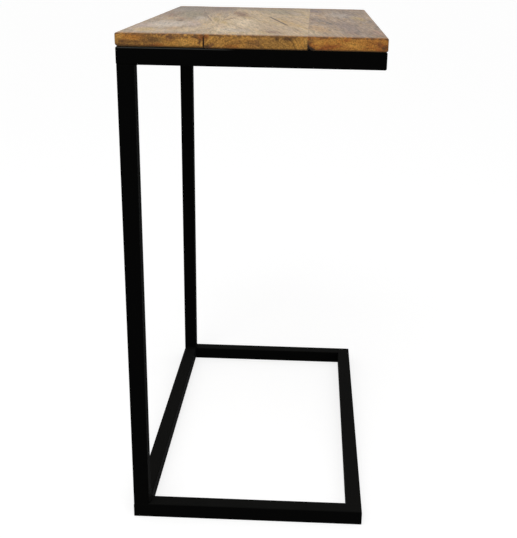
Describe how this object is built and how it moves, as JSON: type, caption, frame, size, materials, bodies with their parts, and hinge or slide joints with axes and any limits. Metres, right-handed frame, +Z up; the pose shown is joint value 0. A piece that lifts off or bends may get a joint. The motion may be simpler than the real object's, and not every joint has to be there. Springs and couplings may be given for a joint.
{
  "type": "c shaped side table",
  "caption": "C shaped side table: welded black square tube frame, open on one side, with a solid wood plank top.",
  "frame": {"origin": "on the floor under the middle of the table", "axes": "+Z up; +X from the posts towards the open side; +Y from the front to the back along the table's long side"},
  "size_m": [0.302, 0.502, 0.625],
  "materials": {
    "black_powder_coat": "satin powder coat",
    "mango_wood": "sanded and oiled, matt",
    "zinc_plated_steel": "zinc plated"
  },
  "bodies": {
    "root": {"top_rail_front": "black_powder_coat", "top_rail_back": "black_powder_coat", "top_rail_post_side": "black_powder_coat", "top_rail_open_side": "black_powder_coat", "base_rail_front": "black_powder_coat", "base_rail_back": "black_powder_coat", "base_rail_post_side": "black_powder_coat", "base_rail_open_side": "black_powder_coat", "post_front": "black_powder_coat", "post_back": "black_powder_coat", "fixing_tab_front_left": "black_powder_coat", "fixing_tab_front_middle": "black_powder_coat", "fixing_tab_front_right": "black_powder_coat", "fixing_tab_back_left": "black_powder_coat", "fixing_tab_back_middle": "black_powder_coat", "fixing_tab_back_right": "black_powder_coat", "board_left": "mango_wood", "board_middle": "mango_wood", "board_right": "mango_wood", "fixing_screws": "zinc_plated_steel"}
  },
  "joints": []
}
